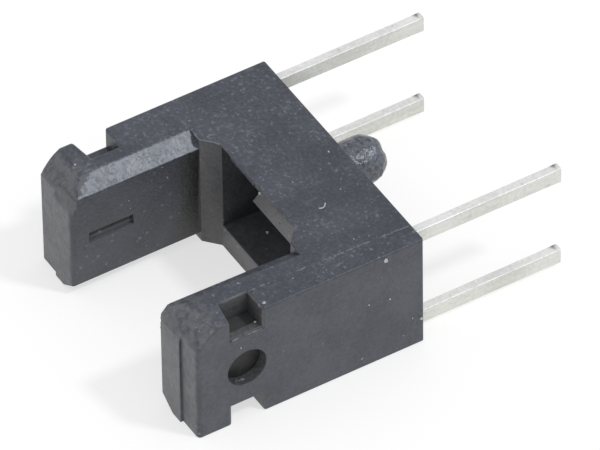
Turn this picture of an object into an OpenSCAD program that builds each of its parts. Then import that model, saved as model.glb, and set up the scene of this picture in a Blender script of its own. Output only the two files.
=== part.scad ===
// Slotted optical switch: a black U moulded around an infrared emitter and, across the slot, a detector.
// It lies on one flat side of the U. X runs across the slot, Y along the leads, Z is the thickness.
// The origin is the middle of the face that sits on the circuit board.

/* [Body] */
// Width over both arms
body_width = 6.9; // [6.5:0.1:9]
// Length from the board face to the arm tips
body_length = 6.0; // [5.6:0.1:8]
// Thickness of the U
body_thickness = 3.2; // [3.15:0.05:4]
// Clear gap between the arms
slot_gap = 3.96; // [3.4:0.02:4]
// Depth of the slot from the arm tips
slot_depth = 3.73; // [3.2:0.01:4]

/* [Slot edges] */
// Width of the bevel along the inner edges of the arms
bevel_width = 0.44; // [0.2:0.02:0.5]
// Height of the bevel along the inner edges of the arms
bevel_height = 0.30; // [0.15:0.01:0.4]
// Width across the slot of the chamfer in the slot corners
corner_width = 0.37; // [0.2:0.01:0.5]
// Length along the arm of the chamfer in the slot corners
corner_length = 0.33; // [0.2:0.01:0.5]

/* [Arm tips] */
// Radius of the rounded lead-in over the top of the tips
tip_radius = 1.06; // [0.9:0.01:1.3]
// Length of the lead-in along the top face
tip_length = 0.52; // [0.3:0.01:0.6]
// Drop of the lead-in down the end face
tip_drop = 0.72; // [0.5:0.01:0.8]
// Width of the outer strip that stands back on the end face
strip_width = 0.68; // [0.4:0.01:0.8]
// How far the outer strip stands back
strip_step = 0.06; // [0.02:0.01:0.15]

/* [Openings in the arms] */
// Distance from the arm tip to the optical axis
optic_from_tip = 1.06; // [0.95:0.01:1.3]
// Length of the aperture slit along the arm
slit_length = 1.15; // [0.6:0.01:1.2]
// Width of the aperture slit
slit_width = 0.28; // [0.15:0.01:0.6]
// Depth of the slit down to the window of the package
slit_recess = 0.10; // [0.04:0.01:0.2]
// Distance from the arm tip to the side hole and the notches
hole_from_tip = 1.36; // [1.2:0.01:2]
// Diameter of the side hole
hole_diameter = 1.0; // [0.5:0.05:1.4]
// Length of the edge notches along the side of the arm
notch_length = 0.84; // [0.5:0.01:1.2]
// How much shorter the notches are at their inner end, on the tip side
notch_taper = 0.10; // [0:0.01:0.3]
// Depth of the edge notches in from the side
notch_width = 0.68; // [0.5:0.01:0.75]
// Depth of the edge notches down from the flat faces
notch_height = 0.56; // [0.35:0.01:0.6]

/* [Slot wall pocket] */
// Rim left above and below the pocket
pocket_rim = 0.66; // [0.4:0.01:0.9]
// Rim left between the pocket and the corner chamfers
pocket_side_rim = 0.04; // [0.02:0.01:0.3]
// Depth of the pocket into the crossbar
pocket_depth = 1.2; // [0.6:0.05:1.5]
// Width of the relief above the pocket where it meets the pocket
relief_width = 1.34; // [0.6:0.01:2]
// How much the relief widens toward the top
relief_flare = 0.32; // [0.05:0.01:0.5]
// Depth of the relief into the crossbar
relief_depth = 0.6; // [0.3:0.05:1]
// Thin lip left over the relief
relief_lip = 0.05; // [0.04:0.01:0.2]
// How much thicker the lip is over the widened end
lip_step = 0.08; // [0.02:0.01:0.2]

/* [Locating peg] */
// Diameter of the peg
peg_diameter = 1.16; // [0.8:0.01:1.4]
// Length of the peg
peg_length = 1.52; // [0.8:0.01:2]
// Rounding of the peg end
peg_end_radius = 0.42; // [0.1:0.01:0.5]
// Distance of the peg from the middle, toward the emitter arm
peg_offset = 0.9; // [0:0.05:1.1]

/* [Leads] */
// Pitch of the two leads of one arm
lead_pitch = 2.54; // [2.4:0.01:2.54]
// Distance from the side of the body to the middle of the lead
lead_inset = 0.51; // [0.49:0.01:0.56]
// Lead width
lead_width = 0.38; // [0.3:0.01:0.45]
// Lead sheet thickness
lead_thickness = 0.22; // [0.15:0.01:0.25]
// Lead length beyond the board face
lead_length = 3.9; // [2:0.1:8]
// Length of the slanted corner at the lead tip
lead_tip_length = 0.11; // [0.05:0.01:0.4]
// Height of the slanted corner at the lead tip
lead_tip_height = 0.11; // [0.05:0.01:0.2]
// Start of the crank in the lead, below the board face
crank_start = 0.3; // [0.2:0.05:0.5]
// Length of the crank in the lead
crank_length = 0.55; // [0.4:0.05:0.8]

/* [Packages] */
// Wall between the package and the slot
inner_wall = 0.30; // [0.2:0.01:0.4]
// Wall between the package and the outer side
outer_wall = 0.30; // [0.2:0.01:0.34]
// Wall beside the package, toward the flat faces
side_wall = 0.62; // [0.61:0.01:0.66]
// Wall at the arm tip
tip_wall = 0.44; // [0.4:0.01:0.5]
// How far the package ends in from the board face
package_recess = 1.0; // [1:0.05:1.4]
// Epoxy left outside the inner run of a lead
package_cover = 0.12; // [0.08:0.01:0.2]

/* [Chips and wires] */
// Side of the chip pad on a lead
pad_size = 0.62; // [0.5:0.02:0.7]
// Side of the emitter chip
emitter_chip_size = 0.3; // [0.2:0.01:0.35]
// Side of the detector chip
detector_chip_size = 0.46; // [0.3:0.01:0.48]
// Thickness of the chips
chip_thickness = 0.14; // [0.08:0.01:0.15]
// Diameter of the bond wire
wire_diameter = 0.03; // [0.02:0.005:0.04]
// Rise of the bond wire over the chip
wire_rise = 0.08; // [0.05:0.01:0.09]

/* [Hidden] */
$fn = 64;
half_width = body_width / 2;
half_thickness = body_thickness / 2;
half_gap = slot_gap / 2;
crossbar = body_length - slot_depth;
optic_y = optic_from_tip - body_length;
hole_y = hole_from_tip - body_length;
bevel_end = -crossbar - corner_length;
cut_over = 0.2;
package_in = half_gap + inner_wall;
package_out = half_width - outer_wall;
package_end = tip_wall - body_length;
package_half = half_thickness - side_wall;
lead_x = half_width - lead_inset;
lead_face = lead_x - lead_thickness / 2;
lead_z = lead_pitch / 2;
inner_z = package_half - package_cover - lead_width / 2;
crank_end = crank_start + crank_length;
post_end = optic_y - lead_width / 2;
pocket_half_width = half_gap - corner_width - pocket_side_rim;
pocket_half_height = half_thickness - pocket_rim;
relief_end = relief_width - pocket_half_width;
tip_chord = norm([tip_length, tip_drop]);
tip_sag = sqrt(tip_radius * tip_radius - tip_chord * tip_chord / 4);
tip_centre_y = tip_length / 2 - body_length + tip_sag * tip_drop / tip_chord;
tip_centre_z = half_thickness - tip_drop / 2 - tip_sag * tip_length / tip_chord;

// A shape drawn in Y and Z, made solid along X from x_from by x_size
module along_x(x_from, x_size) {
  translate([x_from, 0, 0])
    rotate([90, 0, 90])
      linear_extrude(height = x_size)
        children();
}

// A shape drawn in X and Z, made solid along Y from y_from up to y_to
module along_y(y_from, y_to) {
  translate([0, y_to, 0])
    rotate([90, 0, 0])
      linear_extrude(height = y_to - y_from)
        children();
}

// The same thing on both arms
module both_arms() {
  children();
  mirror([1, 0, 0])
    children();
}

// The same thing at both flat faces
module both_faces() {
  children();
  mirror([0, 0, 1])
    children();
}

// Plan of the slot, with chamfered inner corners
module slot_plan() {
  polygon([
    [-half_gap, -body_length - cut_over],
    [half_gap, -body_length - cut_over],
    [half_gap, -crossbar - corner_length],
    [half_gap - corner_width, -crossbar],
    [corner_width - half_gap, -crossbar],
    [-half_gap, -crossbar - corner_length]
  ]);
}

// Bevel along the inner edge of one arm
module arm_bevel() {
  along_y(-body_length - cut_over, bevel_end)
    polygon([
      [half_gap - cut_over, half_thickness - bevel_height],
      [half_gap, half_thickness - bevel_height],
      [half_gap + bevel_width, half_thickness],
      [half_gap + bevel_width, half_thickness + cut_over],
      [half_gap - cut_over, half_thickness + cut_over]
    ]);
}

// What the rounded lead-in takes off the top of the arm tips
module tip_lead_in() {
  difference() {
    translate([-body_width, -body_length - cut_over, half_thickness - tip_drop])
      cube([2 * body_width, cut_over + tip_length, tip_drop + cut_over]);
    translate([-body_width - cut_over, tip_centre_y, tip_centre_z])
      rotate([0, 90, 0])
        cylinder(r = tip_radius, h = 2 * (body_width + cut_over));
  }
}

// Outer strip of the end face, standing back a little
module tip_strip() {
  translate([half_width - strip_width, -body_length - cut_over, -half_thickness - cut_over])
    cube([strip_width + cut_over, cut_over + strip_step, body_thickness + 2 * cut_over]);
}

// Block of the package that is moulded into one arm
module package_block() {
  translate([package_in, package_end, -package_half])
    cube([package_out - package_in, -package_recess - package_end, 2 * package_half]);
}

// Aperture slit in one arm, from x_from on into the package
module arm_slit(x_from) {
  translate([x_from, optic_y - slit_length / 2, -slit_width / 2])
    cube([package_in + cut_over - x_from, slit_length, slit_width]);
}

// Round hole through the outer wall of one arm, down to the package
module side_hole() {
  translate([package_out - cut_over, hole_y, 0])
    rotate([0, 90, 0])
      cylinder(d = hole_diameter, h = outer_wall + 2 * cut_over);
}

// Plan of an edge notch from its inner end up to x_to, shorter at the inner end
module notch_plan(x_to) {
  slope = notch_taper / notch_width;
  notch_half = notch_length / 2;
  polygon([
    [half_width - notch_width, notch_taper - notch_half],
    [x_to, slope * (half_width - x_to) - notch_half],
    [x_to, notch_half],
    [half_width - notch_width, notch_half]
  ]);
}

// Notch in the outer edge of one arm: a shelf at the side, and behind it a pit down to the package
module edge_notch() {
  translate([0, hole_y, half_thickness - notch_height])
    linear_extrude(height = notch_height + cut_over)
      notch_plan(half_width + cut_over);
  translate([0, hole_y, package_half - cut_over])
    linear_extrude(height = side_wall + 2 * cut_over)
      notch_plan(package_out);
}

// Pocket in the wall at the bottom of the slot, with a relief above it at the emitter end
module wall_pocket() {
  along_y(-crossbar - cut_over, pocket_depth - crossbar)
    square([2 * pocket_half_width, 2 * pocket_half_height], center = true);
  along_y(-crossbar - cut_over, relief_depth - crossbar)
    polygon([
      [-pocket_half_width, 0],
      [relief_end, 0],
      [relief_end, pocket_half_height],
      [relief_end + relief_flare, half_thickness - relief_lip - lip_step],
      [relief_end - relief_flare, half_thickness - relief_lip - lip_step],
      [relief_end - relief_flare, half_thickness - relief_lip],
      [-pocket_half_width, half_thickness - relief_lip]
    ]);
}

// Locating peg with a rounded end
module locating_peg() {
  translate([-peg_offset, 0, 0])
    rotate([-90, 0, 0])
      rotate_extrude() {
        peg_radius = peg_diameter / 2;
        translate([0, -crossbar / 2])
          square([peg_radius, crossbar / 2 + peg_length - peg_end_radius]);
        square([peg_radius - peg_end_radius, peg_length]);
        intersection() {
          translate([peg_radius - peg_end_radius, peg_length - peg_end_radius])
            circle(r = peg_end_radius);
          square([peg_radius, peg_length]);
        }
      }
}

module housing() {
  color([0.09, 0.09, 0.10])
    difference() {
      union() {
        translate([-half_width, -body_length, -half_thickness])
          cube([body_width, body_length, body_thickness]);
        locating_peg();
      }
      translate([0, 0, -half_thickness - cut_over])
        linear_extrude(height = body_thickness + 2 * cut_over)
          slot_plan();
      both_arms()
        both_faces()
          arm_bevel();
      tip_lead_in();
      both_arms() {
        tip_strip();
        package_block();
        pad_lead();
        post_lead();
        arm_slit(half_gap - cut_over);
        side_hole();
        both_faces()
          edge_notch();
      }
      wall_pocket();
    }
}

// Slanted upper corner of a lead tip, at the height corner_z
module lead_tip_corner(corner_z) {
  polygon([
    [lead_length - lead_tip_length, corner_z],
    [lead_length, corner_z - lead_tip_height],
    [lead_length + cut_over, corner_z + cut_over]
  ]);
}

// Outline of a lead from its tip, through the crank, to where it ends in the package.
// A side of 1 is the upper lead of an arm, and -1 the lower one.
module lead_outline(side, end_y) {
  half_lead = lead_width / 2;
  difference() {
    polygon([
      [lead_length, side * lead_z - half_lead],
      [lead_length, side * lead_z + half_lead],
      [-crank_start, side * lead_z + half_lead],
      [-crank_end, side * inner_z + half_lead],
      [end_y, side * inner_z + half_lead],
      [end_y, side * inner_z - half_lead],
      [-crank_end, side * inner_z - half_lead],
      [-crank_start, side * lead_z - half_lead]
    ]);
    lead_tip_corner(side * lead_z + half_lead);
  }
}

// Upper lead, which carries the chip on a square pad
module pad_lead() {
  along_x(lead_face, lead_thickness) {
    lead_outline(1, optic_y - pad_size / 2);
    translate([optic_y - pad_size / 2, -pad_size / 2])
      square([pad_size, pad_size / 2 + inner_z + lead_width / 2]);
  }
}

// Lower lead, which ends in a post for the bond wire
module post_lead() {
  along_x(lead_face, lead_thickness)
    lead_outline(-1, post_end);
}

// Chip on the face of the pad that looks at the slot
module chip(side) {
  translate([lead_face - chip_thickness, optic_y - side / 2, -side / 2])
    cube([chip_thickness, side, side]);
}

// Bond wire: up from the chip, across, and down to the post
module bond_wire() {
  chip_face = lead_face - chip_thickness;
  wire_top = chip_face - wire_rise;
  translate([wire_top, optic_y, 0])
    rotate([0, 90, 0])
      cylinder(d = wire_diameter, h = wire_rise);
  translate([wire_top, optic_y, -inner_z])
    cylinder(d = wire_diameter, h = inner_z);
  translate([wire_top, optic_y, -inner_z])
    rotate([0, 90, 0])
      cylinder(d = wire_diameter, h = wire_rise + chip_thickness);
  for (bend_z = [0, -inner_z])
    translate([wire_top, optic_y, bend_z])
      sphere(d = wire_diameter);
}

// Moulded epoxy body with its window in the slit, and the room that the leads, chip and wire take up in it
module package(side) {
  difference() {
    union() {
      package_block();
      arm_slit(half_gap + slit_recess);
    }
    pad_lead();
    post_lead();
    chip(side);
    bond_wire();
  }
}

module emitter_package() {
  color([0.08, 0.07, 0.08])
    mirror([1, 0, 0])
      package(emitter_chip_size);
}

module emitter_cathode_lead() {
  color([0.80, 0.80, 0.78])
    mirror([1, 0, 0])
      pad_lead();
}

module emitter_anode_lead() {
  color([0.80, 0.80, 0.78])
    mirror([1, 0, 0])
      post_lead();
}

module emitter_chip() {
  color([0.30, 0.28, 0.32])
    mirror([1, 0, 0])
      chip(emitter_chip_size);
}

module emitter_wire() {
  color([0.85, 0.68, 0.25])
    mirror([1, 0, 0])
      bond_wire();
}

module detector_package() {
  color([0.08, 0.07, 0.08])
    package(detector_chip_size);
}

module detector_collector_lead() {
  color([0.80, 0.80, 0.78])
    pad_lead();
}

module detector_emitter_lead() {
  color([0.80, 0.80, 0.78])
    post_lead();
}

module detector_chip() {
  color([0.20, 0.22, 0.28])
    chip(detector_chip_size);
}

module detector_wire() {
  color([0.85, 0.68, 0.25])
    bond_wire();
}

housing();
emitter_package();
emitter_anode_lead();
emitter_cathode_lead();
emitter_chip();
emitter_wire();
detector_package();
detector_collector_lead();
detector_emitter_lead();
detector_chip();
detector_wire();
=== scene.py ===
# %% [markdown]
# # A slotted optical switch
#
# The object is a small black U of moulded plastic on straight tinned leads. A beam of infrared light
# crosses the slot, and a vane that enters the slot breaks it. The true shape comes from the CAD model, so
# this lesson dresses that model: first the camera and the light, then one finish after another.

# %% Load the part
import math

import bmesh
import bpy
from mathutils import Matrix, Vector, noise


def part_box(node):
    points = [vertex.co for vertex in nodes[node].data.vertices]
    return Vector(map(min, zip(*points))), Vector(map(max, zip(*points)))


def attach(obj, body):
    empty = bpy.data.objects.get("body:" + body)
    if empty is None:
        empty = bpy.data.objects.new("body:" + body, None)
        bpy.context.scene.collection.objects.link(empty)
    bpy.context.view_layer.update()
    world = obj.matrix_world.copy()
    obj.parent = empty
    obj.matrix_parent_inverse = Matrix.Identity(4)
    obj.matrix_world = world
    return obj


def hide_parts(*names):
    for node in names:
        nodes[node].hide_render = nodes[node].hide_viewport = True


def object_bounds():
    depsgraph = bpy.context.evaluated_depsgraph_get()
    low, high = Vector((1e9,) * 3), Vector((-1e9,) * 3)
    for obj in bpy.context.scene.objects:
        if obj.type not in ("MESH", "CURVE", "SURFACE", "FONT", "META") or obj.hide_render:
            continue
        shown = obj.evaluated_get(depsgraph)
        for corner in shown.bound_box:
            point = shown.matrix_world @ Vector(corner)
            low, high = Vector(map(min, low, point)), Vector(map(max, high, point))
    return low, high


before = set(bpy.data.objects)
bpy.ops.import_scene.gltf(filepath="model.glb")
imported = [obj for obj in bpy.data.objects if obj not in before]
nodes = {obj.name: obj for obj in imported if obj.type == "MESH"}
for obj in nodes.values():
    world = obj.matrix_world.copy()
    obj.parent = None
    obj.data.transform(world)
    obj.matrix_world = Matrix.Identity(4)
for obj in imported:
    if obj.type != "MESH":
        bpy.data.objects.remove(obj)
cad_low, cad_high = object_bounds()
MM = 0.001
print("nodes:", ", ".join(sorted(nodes)))
print("box in mm:", [round(v / MM, 2) for v in cad_high - cad_low])

# %% [markdown]
# ## Camera
#
# The photograph was taken from above one corner with a long lens, so parallel edges stay parallel. A
# camera could be turned by eye until it fits. Here its angles were worked out from the straight edges of
# the body, and the lens is set in pixels of a picture that is 600 wide.

# %% Camera
AZIMUTH, ELEVATION, ROLL = (math.radians(v) for v in (59.297, 44.105, -0.932))
PICTURE_WIDTH = 600
FOCAL_PIXELS = 11098
SENSOR = 36.0
AIM = Vector((0, -1.5, 0)) * MM
DISTANCE = 251 * MM
SLIDE_RIGHT, SLIDE_UP = 0.289 * MM, -0.016 * MM

level_part = math.cos(ELEVATION)
back = Vector((math.sin(AZIMUTH) * level_part, -math.cos(AZIMUTH) * level_part, math.sin(ELEVATION)))
level = Vector((math.cos(AZIMUTH), math.sin(AZIMUTH), 0))
upright = back.cross(level)
right = math.cos(ROLL) * level + math.sin(ROLL) * upright
up = math.cos(ROLL) * upright - math.sin(ROLL) * level

camera_data = bpy.data.cameras.new("camera")
camera_data.sensor_fit = "HORIZONTAL"
camera_data.sensor_width = SENSOR
camera_data.lens = SENSOR * FOCAL_PIXELS / PICTURE_WIDTH
camera_data.clip_start, camera_data.clip_end = 0.01, 2.0
camera = bpy.data.objects.new("camera", camera_data)
turn = Matrix((right, up, back)).transposed().to_4x4()
stand = AIM + back * DISTANCE + right * SLIDE_RIGHT + up * SLIDE_UP
camera.matrix_world = Matrix.Translation(stand) @ turn
bpy.context.scene.collection.objects.link(camera)
bpy.context.scene.camera = camera
print("lens in mm:", round(camera_data.lens, 1))

# %% [markdown]
# ## Light and floor
#
# The picture was made in a white tent: light comes from all round, and one lamp stands nearly overhead. A
# world of even white does the tent. The lamp is a soft sun, placed where it glances off the sloped edge
# of the far arm into the lens. The table is white and glows a little from below, as such tables do, so
# the upright faces stay bright and the part keeps only a soft shadow.

# %% Small helpers for node trees
def put(tree, kind, inputs=None, **settings):
    """Adds a node, sets its properties and its inputs, links those that are sockets, and returns it."""
    node = tree.nodes.new(kind)
    for name, value in settings.items():
        setattr(node, name, value)
    for name, value in (inputs or {}).items():
        if isinstance(value, bpy.types.NodeSocket):
            tree.links.new(value, node.inputs[name])
        else:
            node.inputs[name].default_value = value
    return node


def sums(tree, operation, a, b, clamp=False):
    """One arithmetic step on two values, and its result."""
    return put(tree, "ShaderNodeMath", {0: a, 1: b}, operation=operation, use_clamp=clamp).outputs[0]


def remap(tree, value, low, high, to_low, to_high):
    """A value moved from one range to another, with smooth ends."""
    inputs = {"Value": value, "From Min": low, "From Max": high, "To Min": to_low, "To Max": to_high}
    return put(tree, "ShaderNodeMapRange", inputs, interpolation_type="SMOOTHSTEP").outputs[0]


def tint(tree, factor, a, b):
    """A colour that goes from a to b with the factor."""
    return put(tree, "ShaderNodeMix", {0: factor, 6: a, 7: b}, data_type="RGBA").outputs[2]


def clouds(tree, place, scale, detail, rough=0.5):
    """A noise between 0 and 1. The scale is the number of its waves in one unit of the place."""
    inputs = {"Vector": place, "Scale": scale, "Detail": detail, "Roughness": rough}
    return put(tree, "ShaderNodeTexNoise", inputs).outputs[0]


# %% World, lamp and floor
TENT = 0.77
TENT_COLOUR = (0.955, 0.985, 1.05, 1)
LAMP = 1.05
LAMP_COLOUR = (0.94, 0.98, 1.06)
LAMP_SIDE = Vector((0.42, 0.37, 0.83))
LAMP_SPREAD = math.radians(7)
FLOOR_REACH = 0.35
FLOOR_DROP = 0.002 * MM
FLOOR_WHITE = (0.415, 0.40, 0.38, 1)
FLOOR_DULL = 0.9
FLOOR_GLOW = 0.62

world = bpy.data.worlds.new("white_tent")
world.use_nodes = True
bpy.context.scene.world = world
sky = world.node_tree.nodes["Background"]
sky.inputs["Color"].default_value = TENT_COLOUR
sky.inputs["Strength"].default_value = TENT

lamp_data = bpy.data.lights.new("overhead_lamp", "SUN")
lamp_data.energy = LAMP
lamp_data.color = LAMP_COLOUR
lamp_data.angle = LAMP_SPREAD
lamp = bpy.data.objects.new("overhead_lamp", lamp_data)
lamp.rotation_mode = "QUATERNION"
lamp.rotation_quaternion = LAMP_SIDE.to_track_quat("Z", "Y")
bpy.context.scene.collection.objects.link(lamp)

floor_mesh = bpy.data.meshes.new("floor")
corners = [(-1, -1), (1, -1), (1, 1), (-1, 1)]
floor_z = cad_low.z - FLOOR_DROP
floor_points = [(x * FLOOR_REACH, y * FLOOR_REACH, floor_z) for x, y in corners]
floor_mesh.from_pydata(floor_points, [], [(0, 1, 2, 3)])
floor = bpy.data.objects.new("floor", floor_mesh)
bpy.context.scene.collection.objects.link(floor)
paper = bpy.data.materials.new("white_table")
paper.use_nodes = True
sheet = paper.node_tree.nodes["Principled BSDF"]
sheet.inputs["Base Color"].default_value = FLOOR_WHITE
sheet.inputs["Roughness"].default_value = FLOOR_DULL
sheet.inputs["Specular IOR Level"].default_value = 0.0
sheet.inputs["Emission Color"].default_value = (1, 1, 1, 1)
sheet.inputs["Emission Strength"].default_value = FLOOR_GLOW
floor_mesh.materials.append(paper)
bpy.context.scene.view_settings.view_transform = "Standard"
print("floor at z in mm:", round(floor_z / MM, 3))

# %% [markdown]
# ## Shared effects
#
# Two effects come back on several finishes: the fine grain that a mould leaves, and settled dust. Each is
# a node group with named inputs, so a material places it with its own sizes. Sizes are in millimetres,
# because the object coordinates are multiplied by a thousand first.

# %% Grain and dust groups
PIT_SHARE, WAVE_SHARE = 0.7, 0.3
MOTTLE_FROM, MOTTLE_TO = 0.72, 1.28
WOBBLE_SCALE, WOBBLE = 14.0, 0.07
SPECK_CORE, SPECK_EDGE = 0.7, 1.1


def new_group(name, inputs, outputs):
    """An empty shader node group with these value sockets besides its Vector input."""
    group = bpy.data.node_groups.new(name, "ShaderNodeTree")
    group.interface.new_socket("Vector", in_out="INPUT", socket_type="NodeSocketVector")
    for socket, value in inputs.items():
        made = group.interface.new_socket(socket, in_out="INPUT", socket_type="NodeSocketFloat")
        made.default_value = value
    for socket in outputs:
        group.interface.new_socket(socket, in_out="OUTPUT", socket_type="NodeSocketFloat")
    return group, put(group, "NodeGroupInput").outputs, put(group, "NodeGroupOutput").inputs


def build_grain():
    """Fine pits over slow waves. Height is for bump, Mottle for colour and gloss."""
    group, given, result = new_group("moulded_grain", {"Size": 0.1, "Waves": 0.9}, ["Height", "Mottle"])
    fine_scale = sums(group, "DIVIDE", 1.0, given["Size"])
    wave_scale = sums(group, "DIVIDE", 1.0, given["Waves"])
    pits = clouds(group, given["Vector"], fine_scale, 3.0)
    waves = clouds(group, given["Vector"], wave_scale, 2.0)
    pit_part = sums(group, "MULTIPLY", pits, PIT_SHARE)
    wave_part = sums(group, "MULTIPLY", waves, WAVE_SHARE)
    group.links.new(sums(group, "ADD", pit_part, wave_part), result["Height"])
    both = sums(group, "ADD", pits, waves)
    group.links.new(remap(group, both, MOTTLE_FROM, MOTTLE_TO, 0.0, 1.0), result["Mottle"])
    return group


def build_dust():
    """Small irregular specks: a cell pattern in which only some cells hold a speck."""
    sizes = {"Spacing": 0.3, "Speck": 0.04, "Share": 0.5}
    group, given, result = new_group("settled_dust", sizes, ["Mask"])
    wobble_inputs = {"Vector": given["Vector"], "Scale": WOBBLE_SCALE, "Detail": 2.0}
    wobble = put(group, "ShaderNodeTexNoise", wobble_inputs).outputs["Color"]
    bend = put(group, "ShaderNodeVectorMath", {0: wobble, "Scale": WOBBLE}, operation="SCALE")
    bent = put(group, "ShaderNodeVectorMath", {0: given["Vector"], 1: bend.outputs[0]}, operation="ADD")
    scale = sums(group, "DIVIDE", 1.0, given["Spacing"])
    cells = put(group, "ShaderNodeTexVoronoi", {"Vector": bent.outputs[0], "Scale": scale})
    chance = put(group, "ShaderNodeSeparateColor", {"Color": cells.outputs["Color"]})
    largest = sums(group, "MULTIPLY", given["Speck"], scale)
    reach = sums(group, "MULTIPLY", largest, chance.outputs["Green"])
    ratio = sums(group, "DIVIDE", cells.outputs["Distance"], reach)
    spot = remap(group, ratio, SPECK_CORE, SPECK_EDGE, 1.0, 0.0)
    kept = sums(group, "LESS_THAN", chance.outputs["Red"], given["Share"])
    group.links.new(sums(group, "MULTIPLY", spot, kept), result["Mask"])
    return group


grain_group = build_grain()
dust_group = build_dust()
print("shared groups:", grain_group.name, dust_group.name)

# %% [markdown]
# ## Wear, and painted light and shade in openings
#
# The part has been handled. Pale scuffs lie in loose clusters on the faces that point up, the arm tips
# are worn dull in blotches, and the end faces are rubbed. Painted masks would do this on one model only.
# Here noises make the marks, and numbers on the faces say where they may lie: dusty and handled. A third
# number paints light and shade into the inside of openings: painted light in most, painted shade toward
# the corner of the slot, and grey where the tent's blue light hardly reaches.

# %% Helpers for materials
def new_material(name):
    """A material, its tree, its shader, and object coordinates in millimetres."""
    material = bpy.data.materials.new(name)
    material.use_nodes = True
    tree = material.node_tree
    place = put(tree, "ShaderNodeTexCoord").outputs["Object"]
    size = put(tree, "ShaderNodeVectorMath", {0: place, "Scale": 1 / MM}, operation="SCALE")
    return material, tree, tree.nodes["Principled BSDF"], size.outputs[0]


def place_group(tree, group, millimetres, **values):
    """One shared effect in a material, with its own sizes."""
    node = put(tree, "ShaderNodeGroup", node_tree=group)
    tree.links.new(millimetres, node.inputs["Vector"])
    for name, value in values.items():
        node.inputs[name].default_value = value
    return node.outputs


def bump(tree, shader, height, depth):
    """Feeds a height to the shader's normal. The depth is in millimetres."""
    node = put(tree, "ShaderNodeBump", {"Height": height, "Distance": depth * MM})
    tree.links.new(node.outputs[0], shader.inputs["Normal"])


def stored(tree, name):
    """A number that the faces or points carry. It is zero on a piece that has no such number."""
    return put(tree, "ShaderNodeAttribute", attribute_name=name).outputs["Fac"]


def coordinate(tree, millimetres, axis):
    """One of the three object coordinates."""
    return put(tree, "ShaderNodeSeparateXYZ", {"Vector": millimetres}).outputs[axis]


# %% Scuffs, worn tips, and painted light and shade in openings
SCUFF_TURN = math.radians(58)
SCUFF_STRETCH = (0.65, 1.0, 1.0)
WORN_FROM, WORN_TO = -5.6, -4.9
HANDLED_TINT = (0.13, 0.13, 0.135, 1)
WORN_TINT = (0.125, 0.123, 0.120, 1)
SCUFF_TINT = (0.155, 0.159, 0.17, 1)
DUST_TINT, DUST_COVER = (0.20, 0.205, 0.21, 1), 0.5
# painted shade: how strongly the colour in openings is greyed, to paint out the tent's blue light
PAINTED_SHADE_GREYING = 6.0
# Noises: waves in a millimetre, detail, and roughness
STREAK_NOISE, SPECK_NOISE = (9.0, 4.0), (12.0, 3.0, 0.6)
CLUSTER_NOISE, PATCH_NOISE = (0.9, 2.0), (4.5, 4.0, 0.65)
# Masks: the range of the noise, and what it becomes
STREAKS, SPECKS, CLUSTERS = (0.54, 0.74, 0.0, 0.5), (0.56, 0.70, 0.0, 1.0), (0.38, 0.60, 0.3, 1.0)
BLOTCHES, RUBBED = (0.40, 0.62, 0.0, 1.0), (0.35, 0.65, 0.15, 0.85)


def scuff_mask(tree, millimetres, lying):
    """Short streaks and specks in loose clusters, on faces where things lie."""
    turn_inputs = {"Vector": millimetres, "Angle": -SCUFF_TURN}
    turned = put(tree, "ShaderNodeVectorRotate", turn_inputs, rotation_type="Z_AXIS")
    stretch = {0: turned.outputs[0], 1: SCUFF_STRETCH}
    stretched = put(tree, "ShaderNodeVectorMath", stretch, operation="MULTIPLY").outputs[0]
    streaks = remap(tree, clouds(tree, stretched, *STREAK_NOISE), *STREAKS)
    specks = remap(tree, clouds(tree, millimetres, *SPECK_NOISE), *SPECKS)
    clusters = remap(tree, clouds(tree, millimetres, *CLUSTER_NOISE), *CLUSTERS)
    marks = sums(tree, "MAXIMUM", streaks, specks)
    return sums(tree, "MULTIPLY", sums(tree, "MULTIPLY", marks, lying), clusters)


def rub_masks(tree, millimetres, lying, wear):
    """Where the upper tips are worn, and where the end faces are handled, both in blotches."""
    patches = clouds(tree, millimetres, *PATCH_NOISE)
    near_tip = remap(tree, coordinate(tree, millimetres, "Y"), WORN_FROM, WORN_TO, wear, 0.0)
    blotches = remap(tree, patches, *BLOTCHES)
    worn = sums(tree, "MULTIPLY", sums(tree, "MULTIPLY", near_tip, lying), blotches)
    handled = sums(tree, "MULTIPLY", stored(tree, "handled"), remap(tree, patches, *RUBBED))
    return worn, handled


def paint_light_and_shade(tree, surface):
    """Paints light and shade into a colour by the faces' number, and greys it where that isn't zero."""
    core = stored(tree, "painted_light_and_shade")
    amount = sums(tree, "MULTIPLY", sums(tree, "ABSOLUTE", core, 0.0), PAINTED_SHADE_GREYING)
    colourful = sums(tree, "SUBTRACT", 1.0, amount, clamp=True)
    grey = put(tree, "ShaderNodeHueSaturation", {"Saturation": colourful, "Color": surface}).outputs[0]
    strength = sums(tree, "ADD", core, 1.0)
    return put(tree, "ShaderNodeVectorMath", {0: grey, "Scale": strength}, operation="SCALE").outputs[0]


print("scuffs lie at", round(math.degrees(SCUFF_TURN)), "degrees to the X axis")

# %% [markdown]
# ## Black plastic
#
# The U is black plastic with a dull shine. It isn't one black: the mould leaves a fine grain, and dust
# and wear lie on it. One sloped strip and the peg came from a part of the mould that was cut by sparks.
# Their finish is the same plastic with more shine and coarser pits, and each small cell of it has its own
# painted shade, so it sparkles with painted glints.

# %% Black plastic
PLASTIC_GRAIN = {"Size": 0.10, "Waves": 1.1}
PLASTIC_DUST = {"Spacing": 0.22, "Speck": 0.05, "Share": 0.6}
MOTTLE_PART, PIT_PART, PIT_ROUGH = 0.6, 0.4, 0.7
FACETS_PER_MM = 13.0
WORN_DULL, PEG_GLOSS, PEG_BUMP = 0.3, 0.12, 3.0


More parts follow.
